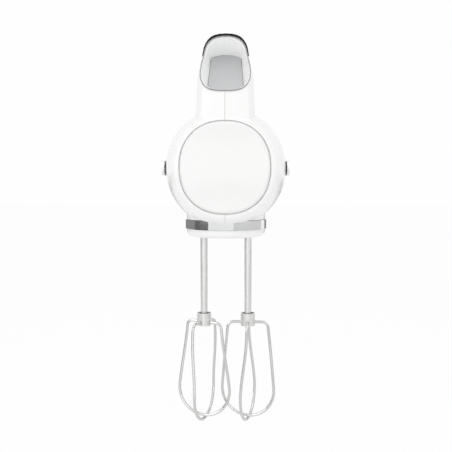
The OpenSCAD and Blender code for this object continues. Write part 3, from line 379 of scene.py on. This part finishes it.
world = bpy.data.worlds.new("white room")
world.use_nodes = True
bpy.context.scene.world = world
sky = world.node_tree.nodes["Background"]
sky.inputs["Color"].default_value = (1.0, 1.0, 1.0, 1.0)
sky.inputs["Strength"].default_value = 0.68
seen = world.node_tree.nodes.new("ShaderNodeBackground")
seen.inputs["Color"].default_value = (1.0, 1.0, 1.0, 1.0)
seen.inputs["Strength"].default_value = 0.99
rays = world.node_tree.nodes.new("ShaderNodeLightPath")
looked = world.node_tree.nodes.new("ShaderNodeMath")
looked.operation = "MAXIMUM"
world.node_tree.links.new(rays.outputs["Is Camera Ray"], looked.inputs[0])
world.node_tree.links.new(rays.outputs["Is Glossy Ray"], looked.inputs[1])
either = world.node_tree.nodes.new("ShaderNodeMixShader")
world.node_tree.links.new(looked.outputs[0], either.inputs[0])
world.node_tree.links.new(sky.outputs[0], either.inputs[1])
world.node_tree.links.new(seen.outputs[0], either.inputs[2])
world.node_tree.links.new(either.outputs[0], world.node_tree.nodes["World Output"].inputs["Surface"])


def sheet_of(name, corners, colour):
    """A flat stage card from its four corners."""
    mesh = bpy.data.meshes.new(name)
    mesh.from_pydata([tuple(c) for c in corners], [], [(0, 1, 2, 3)])
    card = bpy.data.objects.new(name, mesh)
    bpy.context.scene.collection.objects.link(card)
    paint = Finish(name, colour, 0.9, specular=0.0)
    card.data.materials.append(paint.material)
    return card, paint


pull_room = 0.06  # a beater pulled out still hangs clear of the floor
floor_z = wires_low.z - pull_room
floor_reach = 6.0
floor, floor_paint = sheet_of(
    "floor", [(x * floor_reach, y * floor_reach, floor_z) for x, y in ((-1, -1), (1, -1), (1, 1), (-1, 1))],
    (0.93, 0.93, 0.93))
glow = floor_paint.node("ShaderNodeEmission", None, {"Color": (1.0, 1.0, 1.0, 1.0), "Strength": 1.0})
path = floor_paint.node("ShaderNodeLightPath")
camera_ray = path.out("Is Camera Ray")
camera_or_mirror = camera_ray.reckon("MAXIMUM", camera_ray, path.out("Is Glossy Ray"))
blend = floor_paint.node("ShaderNodeMixShader", None, {0: camera_or_mirror * 0.94})
floor_paint.tree.links.new(floor_paint.shader.outputs[0], blend.node.inputs[1])
floor_paint.tree.links.new(glow.node.outputs[0], blend.node.inputs[2])
floor_paint.tree.links.new(blend.node.outputs[0], floor_paint.tree.nodes["Material Output"].inputs["Surface"])


def soft_lamp(name, place, size, watts):
    lamp = bpy.data.lights.new(name, "AREA")
    lamp.shape = "SQUARE"
    lamp.size = size
    lamp.energy = watts
    body = bpy.data.objects.new(name, lamp)
    body.location = place
    body.rotation_euler = (aim - Vector(place)).to_track_quat("-Z", "Y").to_euler()
    bpy.context.scene.collection.objects.link(body)


def mirror_card(name, start, end, brightness, low, high, radius=1.05, steps=24):
    """A standing grey card, bent round the object, that only mirrors see. Angles are from the front."""
    corners = []
    for step in range(steps + 1):
        turned_by = math.radians(start + (end - start) * step / steps)
        for height in (low, high):
            across, forward = radius * math.sin(turned_by), radius * math.cos(turned_by)
            corners.append((across, spindle_y - forward, base_z + height))
    mesh = bpy.data.meshes.new(name)
    mesh.from_pydata(corners, [], [(2 * i, 2 * i + 2, 2 * i + 3, 2 * i + 1) for i in range(steps)])
    card = bpy.data.objects.new(name, mesh)
    bpy.context.scene.collection.objects.link(card)
    paint = Finish(name, (0.0, 0.0, 0.0), 1.0, specular=0.0)
    paint.set("Emission Color", (brightness, brightness, brightness, 1.0))
    paint.set("Emission Strength", 1.0)
    mesh.materials.append(paint.material)
    card.visible_camera = False
    card.visible_diffuse = False
    card.visible_shadow = False
    card.visible_transmission = False


band_strip = (-0.12, -0.03)  # heights that the bright band mirrors
lower_strip = (-0.7, -0.125)
mirror_card("left card", -49.0, -96.0, 0.13, *band_strip)
mirror_card("left rear card", -96.0, -172.0, 0.26, *band_strip)
mirror_card("front card", -49.0, 22.0, 0.88, *band_strip)
mirror_card("right card", 22.0, 118.0, 0.66, *band_strip)
mirror_card("right rear card", 140.0, 172.0, 0.3, *band_strip)
mirror_card("low left card", -30.0, -172.0, 0.5, *lower_strip)
mirror_card("low right card", 10.0, 172.0, 0.55, *lower_strip)
soft_lamp("top lamp", (0.1, spindle_y - 0.5, base_z + 1.5), 1.4, 6.0)
soft_lamp("bounce lamp", (0.0, spindle_y - 1.1, base_z - 0.19), 0.9, 2.3)
soft_lamp("left lamp", (-1.3, spindle_y - 0.8, base_z + 0.4), 1.0, 4.2)
soft_lamp("right lamp", (1.3, spindle_y - 0.8, base_z + 0.4), 1.0, 3.0)

# The camera stands level with the lower half of the nose disc, a little to the right, and looks down
# by four degrees.
distance = 0.600
eye_height = 0.0504
turn = math.radians(1.3)
pitch = math.radians(4.0)
lens = bpy.data.cameras.new("camera")
lens.lens = 55.64
lens.sensor_width = 36.0
lens.clip_start = 0.01
camera = bpy.data.objects.new("camera", lens)
camera.location = aim + Vector((distance * math.sin(turn), -distance * math.cos(turn), eye_height))
camera.rotation_mode = "XYZ"
camera.matrix_world = (
    Matrix.Translation(camera.location)
    @ Matrix.Rotation(turn, 4, "Z")
    @ Matrix.Rotation(math.pi / 2 - pitch, 4, "X"))
bpy.context.scene.collection.objects.link(camera)
bpy.context.scene.camera = camera
bpy.context.scene.view_settings.view_transform = "Standard"
